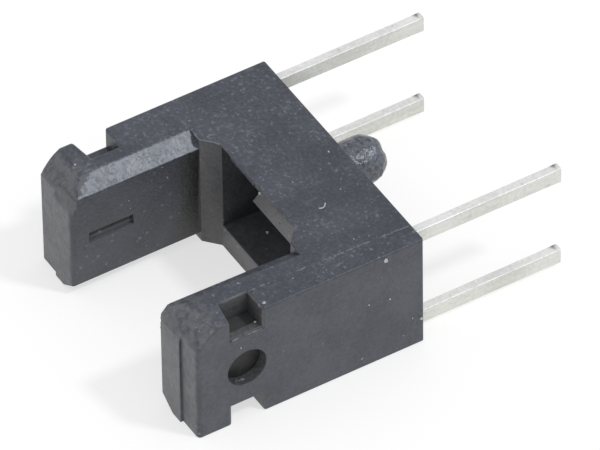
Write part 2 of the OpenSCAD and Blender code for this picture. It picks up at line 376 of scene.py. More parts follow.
def build_black_plastic(name, dark, light, shine=0.5, gloss=(0.34, 0.44), pits=(17.0, 3.0), depth=0.012,
                        wear=0.9, painted_glint_share=0.0):
    """Black plastic between two shades. gloss is its range of roughness, pits their scale and detail."""
    material, tree, shader, millimetres = new_material(name)
    shader.inputs["Specular IOR Level"].default_value = shine
    grain = place_group(tree, grain_group, millimetres, **PLASTIC_GRAIN)
    dust = place_group(tree, dust_group, millimetres, **PLASTIC_DUST)
    pit_noise = clouds(tree, millimetres, *pits, PIT_ROUGH)
    lying = sums(tree, "POWER", stored(tree, "dusty"), 2.0)  # squared, so upright faces take far less
    scuffed = scuff_mask(tree, millimetres, lying)
    worn, handled = rub_masks(tree, millimetres, lying, wear)

    mottle = sums(tree, "MULTIPLY", grain["Mottle"], MOTTLE_PART)
    shade = sums(tree, "ADD", mottle, sums(tree, "MULTIPLY", pit_noise, PIT_PART))
    # painted glints: each small cell gets a random shade, mixed in by the painted glint share
    cells = put(tree, "ShaderNodeTexVoronoi", {"Vector": millimetres, "Scale": FACETS_PER_MM})
    facet = put(tree, "ShaderNodeSeparateColor", {"Color": cells.outputs["Color"]}).outputs["Red"]
    shade = put(tree, "ShaderNodeMix", {0: painted_glint_share, 2: shade, 3: facet}, data_type="FLOAT").outputs[0]
    surface = tint(tree, shade, dark, light)
    surface = tint(tree, handled, surface, HANDLED_TINT)
    surface = tint(tree, worn, surface, WORN_TINT)
    surface = tint(tree, scuffed, surface, SCUFF_TINT)
    surface = tint(tree, sums(tree, "MULTIPLY", dust["Mask"], DUST_COVER), surface, DUST_TINT)
    # painted light and shade inside the openings
    tree.links.new(paint_light_and_shade(tree, surface), shader.inputs["Base Color"])

    coarse = stored(tree, "coarse")
    dull = remap(tree, grain["Mottle"], 0.0, 1.0, *gloss)
    dull = sums(tree, "ADD", dull, sums(tree, "MULTIPLY", worn, WORN_DULL))
    dull = sums(tree, "SUBTRACT", dull, sums(tree, "MULTIPLY", coarse, PEG_GLOSS))
    tree.links.new(dull, shader.inputs["Roughness"])
    stronger = sums(tree, "ADD", sums(tree, "MULTIPLY", coarse, PEG_BUMP), 1.0)
    height = sums(tree, "ADD", grain["Height"], pit_noise)
    bump(tree, shader, sums(tree, "MULTIPLY", height, stronger), depth)
    return material


plain_shades = (0.028, 0.031, 0.039, 1), (0.070, 0.075, 0.088, 1)
cut_shades = (0.006, 0.010, 0.018, 1), (0.125, 0.135, 0.155, 1)
cut_grain = {"shine": 0.85, "gloss": (0.40, 0.46), "pits": (7.0, 1.0), "depth": 0.010}
black_plastic = build_black_plastic("black_plastic", *plain_shades)
spark_cut = build_black_plastic("spark_cut_plastic", *cut_shades, **cut_grain, wear=0.0, painted_glint_share=0.75)
print("made", black_plastic.name, "and", spark_cut.name)

# %% [markdown]
# ## Tinned leads
#
# The leads are stamped from sheet and plated with tin. The flat sides are satin grey, the narrow sides
# brighter, and the shorn tips dark. Fine lines run along them. They are a noise that is stretched along
# the lead, which is the Y axis.

# %% Tinned metal
LINE_STRETCH, LINE_NOISE, LINE_DEPTH = (14.0, 0.8, 14.0), (1.0, 3.0), 0.009
LINE_GLOSS = (0.3, 0.7, 0.55, 0.72)
EDGE_SHADES = (0.80, 0.785, 0.735, 1), (0.93, 0.915, 0.86, 1)
FLAT_SHADES = (0.67, 0.672, 0.625, 1), (0.77, 0.772, 0.725, 1)
SPOT_TINT, SPOT_COVER = (0.55, 0.55, 0.53, 1), 0.35
SHORN_TINT, SHORN_DULL = (0.13, 0.125, 0.12, 1), 0.15


def build_tin():
    """Tin plate with lines along the lead, and bare dark metal where it was shorn."""
    material, tree, shader, millimetres = new_material("tinned_lead")
    shader.inputs["Metallic"].default_value = 1.0
    along = put(tree, "ShaderNodeVectorMath", {0: millimetres, 1: LINE_STRETCH}, operation="MULTIPLY")
    lines = clouds(tree, along.outputs[0], *LINE_NOISE)
    cloud = place_group(tree, grain_group, millimetres, Size=0.08, Waves=1.4)
    spots = place_group(tree, dust_group, millimetres, Spacing=0.30, Speck=0.08, Share=0.45)
    edge = tint(tree, cloud["Mottle"], *EDGE_SHADES)
    flat = tint(tree, cloud["Mottle"], *FLAT_SHADES)
    plated = tint(tree, stored(tree, "flat"), edge, flat)
    plated = tint(tree, sums(tree, "MULTIPLY", spots["Mask"], SPOT_COVER), plated, SPOT_TINT)
    shorn = sums(tree, "MAXIMUM", stored(tree, "shorn"), stored(tree, "nick"))
    tree.links.new(tint(tree, shorn, plated, SHORN_TINT), shader.inputs["Base Color"])
    gloss = remap(tree, lines, *LINE_GLOSS)
    dull = sums(tree, "ADD", gloss, sums(tree, "MULTIPLY", shorn, SHORN_DULL))
    tree.links.new(dull, shader.inputs["Roughness"])
    bump(tree, shader, lines, LINE_DEPTH)
    return material


tinned_lead = build_tin()
print("made", tinned_lead.name)

# %% [markdown]
# ## Epoxy, chips and bond wires
#
# Inside each arm a block of dark epoxy holds the chip, and only its window shows in the slit, its side in
# the round hole and its corners in the notches. The window has painted light and a painted shadow: it is
# painted pale toward its lower edge, a painted reflection of the lit lip of the slit, and dark at the top,
# a painted shadow under the upper lip. The pits in the notches are painted lighter, as painted light. The
# chip and its gold wire are sealed in.

# %% Epoxy, chip and gold
WINDOW_FROM, WINDOW_TO = 2.10, 2.14
WINDOW_LOW, WINDOW_MIDDLE = -0.07, 0.0
PIT_FROM, PIT_TO = 0.94, 0.97
RESIN_SHADES = (0.024, 0.024, 0.023, 1), (0.044, 0.043, 0.041, 1)
WINDOW_PAINTED_LIGHT_AND_SHADOW = (0.115, 0.115, 0.118, 1), (0.022, 0.022, 0.023, 1)
PIT_PAINTED_LIGHT, RESIN_DUST = (0.060, 0.059, 0.056, 1), (0.14, 0.14, 0.14, 1)
RESIN_SHINE, RESIN_GLOSS, RESIN_DEPTH = 0.25, (0.30, 0.46), 0.006


def build_epoxy():
    """Dark epoxy, with painted light and shadow at the window and painted light in the notches' pits."""
    material, tree, shader, millimetres = new_material("dark_epoxy")
    grain = place_group(tree, grain_group, millimetres, Size=0.16, Waves=0.8)
    dust = place_group(tree, dust_group, millimetres, Spacing=0.3, Speck=0.08, Share=0.3)
    resin = tint(tree, grain["Mottle"], *RESIN_SHADES)
    shader.inputs["Specular IOR Level"].default_value = RESIN_SHINE
    from_middle = sums(tree, "ABSOLUTE", coordinate(tree, millimetres, "X"), 0.0)
    # painted reflection of the lit lip low on the window, and painted shadow under the upper lip at its top
    window = remap(tree, from_middle, WINDOW_FROM, WINDOW_TO, 1.0, 0.0)
    height = coordinate(tree, millimetres, "Z")
    upper = remap(tree, height, WINDOW_LOW, WINDOW_MIDDLE, 0.0, 1.0)
    resin = tint(tree, window, resin, tint(tree, upper, *WINDOW_PAINTED_LIGHT_AND_SHADOW))
    # painted light in the pits of the notches
    in_pit = remap(tree, sums(tree, "ABSOLUTE", height, 0.0), PIT_FROM, PIT_TO, 0.0, 1.0)
    resin = tint(tree, in_pit, resin, PIT_PAINTED_LIGHT)
    tree.links.new(tint(tree, dust["Mask"], resin, RESIN_DUST), shader.inputs["Base Color"])
    tree.links.new(remap(tree, grain["Mottle"], 0.0, 1.0, *RESIN_GLOSS), shader.inputs["Roughness"])
    bump(tree, shader, grain["Height"], RESIN_DEPTH)
    return material


def build_mottled(name, grain_sizes, dark, light, gloss, metallic=0.0):
    """A plain finish between two shades, for pieces that are sealed in."""
    material, tree, shader, millimetres = new_material(name)
    shader.inputs["Metallic"].default_value = metallic
    grain = place_group(tree, grain_group, millimetres, **grain_sizes)
    tree.links.new(tint(tree, grain["Mottle"], dark, light), shader.inputs["Base Color"])
    tree.links.new(remap(tree, grain["Mottle"], 0.0, 1.0, *gloss), shader.inputs["Roughness"])
    return material


chip_shades = (0.10, 0.10, 0.13, 1), (0.16, 0.16, 0.20, 1)
gold_shades = (0.78, 0.58, 0.22, 1), (0.90, 0.72, 0.34, 1)
chip_grain, wire_grain = {"Size": 0.05, "Waves": 0.2}, {"Size": 0.02, "Waves": 0.2}
chip_gloss, wire_gloss = (0.15, 0.25), (0.18, 0.30)
inner_finish = {
    "package": build_epoxy(),
    "chip": build_mottled("chip", chip_grain, *chip_shades, chip_gloss),
    "wire": build_mottled("bond_wire", wire_grain, *gold_shades, wire_gloss, metallic=1.0),
}
for name, node in nodes.items():
    finish = inner_finish.get(name.rsplit("_", 1)[-1])
    if finish:
        node.data.materials.clear()
        node.data.materials.append(finish)
print("inner finishes:", ", ".join(sorted(inner_finish)))

# %% [markdown]
# ## The moulded U
#
# The CAD faces meet in perfect edges, and a real moulding has none: each outer edge is slightly rounded,
# most of all at the arm tips. A bevel modifier does it, with a weight on each edge for its own radius.
# The work is done on a merged copy, in millimetres, so that sizes are easy to read.

# %% Rounded copy of a CAD node
SHARP = math.radians(36)
FLAT = math.radians(0.5)
WIDEST, ROUND_STEPS = 0.14, 3
MERGE = 0.0005


def open_in_mm(node_name):
    """A merged copy of a CAD node as an editable mesh in millimetres."""
    work = bmesh.new()
    work.from_mesh(nodes[node_name].data)
    bmesh.ops.scale(work, vec=(1 / MM,) * 3, verts=work.verts)
    bmesh.ops.remove_doubles(work, verts=work.verts, dist=MERGE)
    bmesh.ops.dissolve_limit(work, angle_limit=FLAT, verts=work.verts[:], edges=work.edges[:])
    return work


def weigh_edges(work, radius_of):
    """Gives each sharp outer edge the radius that the function returns, as a share of the widest."""
    weight = work.edges.layers.float.new("bevel_weight_edge")
    count = 0
    for edge in work.edges:
        if len(edge.link_faces) == 2 and edge.calc_face_angle_signed() > SHARP:
            edge[weight] = radius_of(edge) / WIDEST
            count += edge[weight] > 0
    return count


def bake(piece):
    """Turns a piece's modifiers into plain mesh."""
    shaped = piece.evaluated_get(bpy.context.evaluated_depsgraph_get())
    piece.data = bpy.data.meshes.new_from_object(shaped)
    piece.modifiers.clear()


def close_in_metres(work, piece_name, materials, replaced):
    """Rounds the weighted edges and makes a finished piece that rides on the body."""
    mesh = bpy.data.meshes.new(piece_name)
    work.to_mesh(mesh)
    work.free()
    for material in materials:
        mesh.materials.append(material)
    mesh.shade_smooth()
    piece = bpy.data.objects.new(piece_name, mesh)
    bpy.context.scene.collection.objects.link(piece)
    rounding = piece.modifiers.new("rounding", "BEVEL")
    rounding.limit_method = "WEIGHT"
    rounding.offset_type = "OFFSET"
    rounding.width = WIDEST
    rounding.segments = ROUND_STEPS
    rounding.use_clamp_overlap = False
    bake(piece)
    piece.data.set_sharp_from_angle(angle=SHARP)
    piece.modifiers.new("weighted", "WEIGHTED_NORMAL").keep_sharp = True
    bake(piece)
    piece.data.transform(Matrix.Scale(MM, 4))
    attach(piece, "root")
    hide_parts(replaced)
    return piece


u_work = open_in_mm("housing")
u_low, u_high = (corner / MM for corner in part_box("housing"))
SIDE, TOP, TIP_END = u_high.x, u_high.z, u_low.y
print("the U in mm:", [round(v, 2) for v in u_high - u_low])

# %% [markdown]
# ## The spark-cut strip and the peg
#
# The upper sloped strip on the inside of the far arm was cut coarsely in the mould, and the plastic
# copied every pit. Bump alone would leave a straight edge, so the strip is sliced into small cells and
# their points are moved by a noise, which also makes its border ragged. The peg has the same grain and is
# lumpy, so its points move too.

# %% Coarse strip and peg
STRIP_SLOPE = Vector((0.5634, 0, 0.8263))
SLOPE_SLACK, STRIP_END = 0.02, -2.4
CELL = 0.05
PIT_DEPTH, PIT_SIZE = 0.009, 0.13
SPARK_CUT = 1
PEG_FROM, LUMPS_FROM = 0.01, 0.05
PEG_COARSE = 1.0
PEG_LUMPS, LUMP_SIZE = 0.04, 0.22
ALONG = Vector((0, 1, 0))
NOISE_SEED = 4
noise.seed_set(NOISE_SEED)  # without a seed, noise_vector starts from the clock


def on_strip(face):
    """Whether a face is the far arm's upper strip or the near arm's lower one. Both have sharp borders."""
    n = face.normal
    leans_x = abs(abs(n.x) - STRIP_SLOPE.x) < SLOPE_SLACK
    leans_z = abs(abs(n.z) - STRIP_SLOPE.z) < SLOPE_SLACK
    return leans_x and leans_z and n.x * n.z > 0 and face.calc_center_median().y < STRIP_END


def slice_faces(work, faces, axis, low, high, step):
    """Cuts the faces by parallel planes and returns all their parts."""
    parts = list(faces)
    for i in range(1, int((high - low) / step) + 1):
        around = {e for f in parts for e in f.edges} | {v for f in parts for v in f.verts}
        plane = {"plane_co": axis * (low + i * step), "plane_no": axis, "dist": 1e-5}
        cut = bmesh.ops.bisect_plane(work, geom=parts + list(around), **plane)
        parts = [g for g in cut["geom"] if isinstance(g, bmesh.types.BMFace)]
    return parts


def roughen_strip(work):
    """Slices the far arm's upper strip and moves its points. Its upper border moves along the top."""
    [strip] = [f for f in work.faces if on_strip(f) and f.normal.z > 0]
    n = strip.normal.copy()
    across = Vector((n.z, 0, -n.x))
    wide = [v.co.dot(across) for v in strip.verts]
    long = [v.co.y for v in strip.verts]
    cells = slice_faces(work, [strip], ALONG, min(long), max(long), CELL)
    cells = slice_faces(work, cells, across, min(wide), max(wide), CELL)
    inside_strip = set(cells)
    for face in cells:
        face.material_index = SPARK_CUT
    for point in {v for f in cells for v in f.verts}:
        wave = PIT_DEPTH * noise.noise(point.co / PIT_SIZE)
        if all(f in inside_strip for f in point.link_faces):
            point.co += n * wave
        elif abs(abs(point.co.z) - TOP) < 1e-4 and len(point.link_faces) == 3:
            point.co.x += wave
    return len(cells)


def roughen_peg(work):
    """Gives the peg the coarse finish and lumps."""
    coarse = work.faces.layers.float.new("coarse")
    for face in work.faces:
        if face.calc_center_median().y > PEG_FROM:
            face.material_index = SPARK_CUT
            face[coarse] = PEG_COARSE
    moved = [v for v in work.verts if v.co.y > LUMPS_FROM]
    for point in moved:
        point.co += PEG_LUMPS * noise.noise_vector(point.co / LUMP_SIZE)
    return len(moved)


print("cells on the strip:", roughen_strip(u_work), "and points on the peg:", roughen_peg(u_work))

# %% [markdown]
# ## The fuller tip of the near arm
#
# In the photograph the rounded upper end of the near arm is fuller than in the CAD model, most of all on
# the side of the slot. The end is an arc of narrow faces, so its points are pushed outward from the line
# that joins the ends of the arc. The push is zero at both ends and largest a third of the way up.

# %% Near tip
TIP_LENGTH, TIP_DROP = 0.52, 0.72
SLOT_SIDE, STEP_SIDE = 1.98, 2.6
FULLER = 0.155
TO_PEAK = 6.75
ARC_ENDS, ARC_SLACK = 0.02, 0.05


def fill_near_tip(work):
    """Makes the rounded end fuller from the slot side up to the step in the end face."""
    start, end = Vector((TIP_END, TOP - TIP_DROP)), Vector((TIP_END + TIP_LENGTH, TOP))
    chord = end - start
    outward = Vector((-chord.y, chord.x)).normalized()
    moved = 0
    for point in work.verts:
        place = Vector((point.co.y, point.co.z)) - start
        share = place.dot(chord) / chord.length_squared
        on_arc = ARC_ENDS < share < 1 - ARC_ENDS and place.dot(outward) > -ARC_SLACK
        if on_arc and SLOT_SIDE - ARC_SLACK < point.co.x < STEP_SIDE:
            inner = (STEP_SIDE - point.co.x) / (STEP_SIDE - SLOT_SIDE)
            rise = FULLER * inner * TO_PEAK * share * (1 - share) ** 2
            point.co.y += rise * outward.x
            point.co.z += rise * outward.y
            moved += 1
    return moved


print("points moved at the near tip:", fill_near_tip(u_work))

# %% [markdown]
# ## Rounding
#
# The tips are rounded most, the long edges of the body less, and the small openings hardly at all. The
# radius of an edge follows from where its middle lies. The borders of the strips stay sharp. Afterwards
# the strip's tip end is frayed: cells beyond a ragged slanting line get the plain finish back, as the
# coarse cut ran out there.

# %% Round the U
TIP_ROUND, NOTCH_ROUND, BODY_ROUND, FINE_ROUND = 0.13, 0.07, 0.05, 0.02
TIP_Y, STEP_ZONE = -5.4, (2.6, 2.9)
FAR_SIDE_X, FAR_SIDE_TOP = -3.3, 0.85
BELOW_Z, NEAR_INNER = -0.9, (1.9, 2.9)
ANY = math.inf
notch_edges = (2.7, ANY), (-5.1, -4.2), (1.0, ANY)
ON_FACE = 1e-3
FRAY_Y, FRAY_Z, FRAY_LEAN = -5.78, 1.3, 2.0
FRAY_DEPTH, FRAY_SIZE = 0.12, 0.15


def inside(place, zone):
    """Whether a place lies between the zone's limits on all three axes, in millimetres."""
    return all(low < value < high for value, (low, high) in zip(place, zone))


def u_radius(edge):
    """The radius for one edge of the U, from where it lies."""
    x, y, z = (edge.verts[0].co + edge.verts[1].co) / 2
    around = {f for v in edge.verts for f in v.link_faces}
    if y < 0 and any(f.material_index == SPARK_CUT or on_strip(f) for f in around):
        return 0
    if y < TIP_Y and not STEP_ZONE[0] < abs(x) < STEP_ZONE[1]:
        far_side = x < FAR_SIDE_X and z < FAR_SIDE_TOP
        below = z < BELOW_Z and not NEAR_INNER[0] < x < NEAR_INNER[1]
        return BODY_ROUND if far_side or below else TIP_ROUND
    if inside((abs(x), y, abs(z)), notch_edges):
        return NOTCH_ROUND
    on_side = abs(abs(x) - SIDE) < ON_FACE
    on_end = abs(y) < ON_FACE or abs(y - TIP_END) < ON_FACE
    on_flat = abs(abs(z) - TOP) < ON_FACE
    return BODY_ROUND if on_side + on_end + on_flat > 1 else FINE_ROUND


def fray_strip(work):
    """Gives the cells at the tip end of the strip back to the plain finish."""
    count = 0
    for face in work.faces:
        c = face.calc_center_median()
        start = FRAY_Y + FRAY_LEAN * (c.z - FRAY_Z) + FRAY_DEPTH * noise.noise(c / FRAY_SIZE)
        if face.material_index == SPARK_CUT and c.y < start:
            face.material_index = 0
            count += 1
    return count


print("edges rounded on the U:", weigh_edges(u_work, u_radius))
print("cells given back to the plain finish:", fray_strip(u_work))

# %% [markdown]
# ## Numbers for the materials
#
# Each face gets the numbers that the plastic reads: whether dust can settle on it (not underneath, and
# not around the inner packages), whether hands rub it, and how much painted light or painted shade it gets
# inside an opening. The far arm's wall is cut into narrow bands, so that painted shade can darken it step
# by step toward the corner of the slot.

# %% Mark and finish the U
# painted light inside openings (above zero) and painted shade toward the slot's corner (below zero)
NOTCH_PAINTED_LIGHT, HOLE_PAINTED_LIGHT, LIP_PAINTED_LIGHT = 0.3, 0.3, 0.5
POCKET_PAINTED_LIGHT, POCKET_SIDE_PAINTED_LIGHT = 0.45, 0.1
WALL_PAINTED_LIGHT, CORNER_PAINTED_SHADE = 0.2, -0.8
SIDE_DUST, HANDLED = 0.4, 0.9
WALL_Y, CHAMFER_Y = -2.27, -2.60
SHADE_FROM, BAND = -3.3, 0.1
INSET = 0.01
TILTED, TURNED, STRAIGHT = 0.3, 0.5, 0.9  # how much of a normal points along an axis
package_zone = (2.05, 3.4), (-5.7, -0.02), (-ANY, 1.29)
pocket_zone = (-ANY, 1.95), (WALL_Y + INSET, -1.0), (-ANY, TOP - INSET)
notch_zone = (2.7, SIDE - INSET), (-5.1, -4.1), (1.0, TOP - INSET)
hole_zone = (3.1, SIDE - INSET), (-5.2, -4.1), (-ANY, 0.55)
lip_zone = (2.0, 2.2), (-5.6, -4.3), (-0.2, -0.1)
wall_zone = (-ANY, 2.0), (CHAMFER_Y - INSET, WALL_Y + INSET), (-ANY, ANY)


def on_far_wall(face):
    """Whether a face is the far arm's wall in the slot, or a band of it."""
    return face.normal.x > STRAIGHT and abs(face.calc_center_median().x + SLOT_SIDE) < INSET


def mark_wear(work):
    """How much dust and how many scuffs a face takes, and whether it is a tip that hands touch."""
    dusty = work.faces.layers.float.new("dusty")
    handled = work.faces.layers.float.new("handled")
    for face in work.faces:
        c, n = face.calc_center_median(), face.normal
        apart = abs(c.x), c.y, abs(c.z)
        covered = inside(apart, package_zone) or inside(apart, pocket_zone)
        if not covered and n.z > -TURNED:
            face[dusty] = 1.0 if n.z > TURNED else SIDE_DUST
        face[handled] = HANDLED if n.y < -TILTED and c.y < TIP_Y else 0.0


def mark_painted_light_and_shade(work):
    """The painted light inside openings, and the painted shade toward the corner of the slot, per face."""
    mark = work.faces.layers.float.new("painted_light_and_shade")
    for face in work.faces:
        c, n = face.calc_center_median(), face.normal
        apart = abs(c.x), c.y, abs(c.z)
        if inside((c.x, c.y, abs(c.z)), notch_zone):
            face[mark] = NOTCH_PAINTED_LIGHT
        elif inside(apart, hole_zone):
            face[mark] = HOLE_PAINTED_LIGHT
        elif inside(apart, pocket_zone):
            face[mark] = POCKET_PAINTED_LIGHT if abs(n.x) < TURNED else POCKET_SIDE_PAINTED_LIGHT
        elif inside((abs(c.x), c.y, c.z), lip_zone):
            face[mark] = LIP_PAINTED_LIGHT
        elif inside(apart, wall_zone) and n.y < -TURNED:
            face[mark] = WALL_PAINTED_LIGHT * (2 if n.y < -STRAIGHT else 1)
        elif on_far_wall(face) and c.y > SHADE_FROM:
            face[mark] = CORNER_PAINTED_SHADE * (c.y - SHADE_FROM) / (CHAMFER_Y - SHADE_FROM)


# bands on the far wall, for the painted shade toward the corner
far_wall = [f for f in u_work.faces if on_far_wall(f)]
bands = slice_faces(u_work, far_wall, ALONG, SHADE_FROM - BAND, CHAMFER_Y, BAND)
mark_wear(u_work)
mark_painted_light_and_shade(u_work)
print("bands on the far wall:", len(bands))
u_piece = close_in_metres(u_work, "moulded_u", [black_plastic, spark_cut], "housing")
print("faces on the U:", len(u_piece.data.polygons))

# %% [markdown]
# ## The leads
#
# The leads are shorn off by a tool that spreads the metal, so each one widens toward its tip and has a
# dark nick in its upper edge. The CAD lead has a cut corner at the tip. It is filled first, and then the
# points are moved away from the lead's middle, more and more toward the tip. The rounding is the same as
# for the U, but smaller.

# %% Leads
LEAD_END = cad_high.y / MM
LEAD_ROUND = 0.02
BODY_END, END_SLACK = 0.05, 0.01
CORNER = 0.2
FLARE_FROM, FLARE_STEP = LEAD_END - 0.5, 0.13
THICKER, FLARE = 0.06, 0.09
NICK_Y, NICK_REACH = LEAD_END - 0.11, 0.03
SHORN_FROM = LEAD_END - 0.16


def flare(work):
    """Fills the cut corner, lets the lead widen toward its tip, and marks a dark nick on its upper edge."""
    outside = [v for v in work.verts if v.co.y > BODY_END]
    low, high = min(v.co.z for v in outside), max(v.co.z for v in outside)
    far = min(v.co.x for v in outside)
    for point in outside:
        if point.co.y > LEAD_END - END_SLACK and point.co.z > high - CORNER:
            point.co.z = high
    slice_faces(work, list(work.faces), ALONG, FLARE_FROM - FLARE_STEP, LEAD_END - END_SLACK, FLARE_STEP)
    nick = work.verts.layers.float.new("nick")
    for point in work.verts:
        share = max(0.0, (point.co.y - FLARE_FROM) / (LEAD_END - FLARE_FROM))
        if point.co.y > BODY_END:
            point.co.z += (point.co.z - (low + high) / 2) * (THICKER + FLARE * share ** 2)
        at_edge = abs(point.co.x - far) < END_SLACK and point.co.z > high - END_SLACK
        if at_edge and abs(point.co.y - NICK_Y) < NICK_REACH:
            point[nick] = 1.0


def dress_lead(node_name):
    """One finished lead, with its shorn end and its flat sides marked."""
    work = open_in_mm(node_name)
    flare(work)
    weigh_edges(work, lambda edge: LEAD_ROUND)
    mark = work.faces.layers.float.new("shorn")
    flat = work.faces.layers.float.new("flat")
    for face in work.faces:
        at_tip = all(v.co.y > SHORN_FROM for v in face.verts)
        face[mark] = 1.0 if at_tip and face.normal.y > TILTED else 0.0
        face[flat] = 1.0 if abs(face.normal.x) > TURNED else 0.0
    return close_in_metres(work, node_name + "_tinned", [tinned_lead], node_name)


leads = [dress_lead(name) for name in sorted(nodes) if name.endswith("_lead")]
print("leads dressed:", len(leads))

# %% [markdown]
# ## Dust
#
# The part was handled before its picture was taken, and fine pale dust lies on it. Each speck could be
# placed by hand. Geometry Nodes scatter them instead: points on the dusty faces, and a small crushed ball
# on each, turned and sized at random.

# %% Scattered dust
SPECK_SHAPE = (1.7, 0.7, 0.4)
SPECK_TURN = (0.5, 0.5, 6.28)
SMALLEST, UNEVEN = 0.45, 3.0
PALE_CURVE, PALE_GLOSS = 1.8, (0.6, 0.9)


def build_pale(name, dark, light):
    """The dull finish of dust, crumbs and lint between two shades."""
    material, tree, shader, millimetres = new_material(name)
    grain = place_group(tree, grain_group, millimetres, Size=0.03, Waves=0.5)
    colour = tint(tree, sums(tree, "POWER", grain["Mottle"], PALE_CURVE), dark, light)
    tree.links.new(colour, shader.inputs["Base Color"])
    tree.links.new(remap(tree, grain["Mottle"], 0.0, 1.0, *PALE_GLOSS), shader.inputs["Roughness"])
    return material


def new_scatter(name, inputs):
    """An empty Geometry Nodes tree with a geometry input, a geometry output and these further inputs."""
    tree = bpy.data.node_groups.new(name, "GeometryNodeTree")
    tree.interface.new_socket("Geometry", in_out="INPUT", socket_type="NodeSocketGeometry")
    tree.interface.new_socket("Geometry", in_out="OUTPUT", socket_type="NodeSocketGeometry")
    for socket, kind in inputs.items():
        tree.interface.new_socket(socket, in_out="INPUT", socket_type=kind)
    return tree, put(tree, "NodeGroupInput").outputs, put(tree, "NodeGroupOutput").inputs


def end_scatter(tree, geometry, finish, result):
    """The last steps of each tree: real mesh instead of instances, and its material."""
    real = put(tree, "GeometryNodeRealizeInstances", {"Geometry": geometry})
    dressed = put(tree, "GeometryNodeSetMaterial", {"Geometry": real.outputs[0], "Material": finish})
    tree.links.new(dressed.outputs[0], result["Geometry"])
    return tree


def build_dust_scatter():
    """Crushed balls on the dusty faces."""
    number, whole = "NodeSocketFloat", "NodeSocketInt"
    sockets = {"Specks per mm2": number, "Speck mm": number, "Seed": whole, "Finish": "NodeSocketMaterial"}
    tree, given, result = new_scatter("dust_scatter", sockets)
    dusty = put(tree, "GeometryNodeInputNamedAttribute", {"Name": "dusty"}, data_type="FLOAT")
    per_metre = sums(tree, "MULTIPLY", given["Specks per mm2"], 1 / MM ** 2)
    density = sums(tree, "MULTIPLY", per_metre, dusty.outputs["Attribute"])
    host = {"Mesh": given["Geometry"], "Density": density, "Seed": given["Seed"]}
    spread = put(tree, "GeometryNodeDistributePointsOnFaces", host)
    ball = put(tree, "GeometryNodeMeshIcoSphere", {"Radius": MM, "Subdivisions": 1})
    crush = put(tree, "GeometryNodeTransform", {"Geometry": ball.outputs["Mesh"], "Scale": SPECK_SHAPE})
    limits = {2: 0.0, 3: 1.0, "Seed": given["Seed"]}
    chance = put(tree, "FunctionNodeRandomValue", limits, data_type="FLOAT")
    uneven = sums(tree, "ADD", sums(tree, "POWER", chance.outputs[1], UNEVEN), SMALLEST)
    size = sums(tree, "MULTIPLY", uneven, given["Speck mm"])
    spin = put(tree, "FunctionNodeRandomValue", {0: (0, 0, 0), 1: SPECK_TURN}, data_type="FLOAT_VECTOR")
    angle = put(tree, "FunctionNodeEulerToRotation", {"Euler": spin.outputs[0]})
    turns = {"Rotation": spread.outputs["Rotation"], "Rotate By": angle.outputs[0]}
    turned = put(tree, "FunctionNodeRotateRotation", turns, rotation_space="LOCAL")
    specks = {"Points": spread.outputs["Points"], "Instance": crush.outputs[0]}
    specks.update({"Rotation": turned.outputs[0], "Scale": size})
    placed = put(tree, "GeometryNodeInstanceOnPoints", specks)
    return end_scatter(tree, placed.outputs[0], given["Finish"], result)


def grow(piece_name, host_mesh, tree, values):
    """Runs a tree on a host mesh and keeps what it makes as a plain piece."""
    piece = bpy.data.objects.new(piece_name, host_mesh)
    bpy.context.scene.collection.objects.link(piece)
    modifier = piece.modifiers.new("grow", "NODES")
    modifier.node_group = tree
    for socket in tree.interface.items_tree:
        if socket.in_out == "INPUT" and socket.name in values:
            modifier[socket.identifier] = values[socket.name]
    bake(piece)
    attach(piece, "root")
    return piece


pale_dust = build_pale("pale_dust", (0.11, 0.112, 0.12, 1), (0.50, 0.50, 0.49, 1))
dust_values = {"Specks per mm2": 4.5, "Speck mm": 0.017, "Seed": 7, "Finish": pale_dust}
dust_piece = grow("dust", u_piece.data, build_dust_scatter(), dust_values)
print("faces in the dust:", len(dust_piece.data.polygons))

# %% [markdown]
# ## Flash lines
#
# Where two parts of the mould met, a hair of plastic squeezed out: along the top above the near leads, at
# the far corner of the slot and under the near notch. Its plastic is painted paler than the body, a painted
# highlight on its crest. In the round hole the same pale sweep is a painted glint on the hole's lower wall.
# A thicker burr of the same black as the body hangs from the edge above the pocket. Each line is a path,
# and Geometry Nodes sweep a thin ring along it. A noise sets the ring's size, so the flash shows in some
# places and sinks into the surface in others.

# %% Flash
PATH_STEP = 0.035 * MM
WANDER_SCALE, WANDER = 5 / MM, 0.06 * MM
SWELL_SCALE, SWELL_FROM, SWELL_TO = 9 / MM, 0.4, 0.68
RING_SIDES = 6


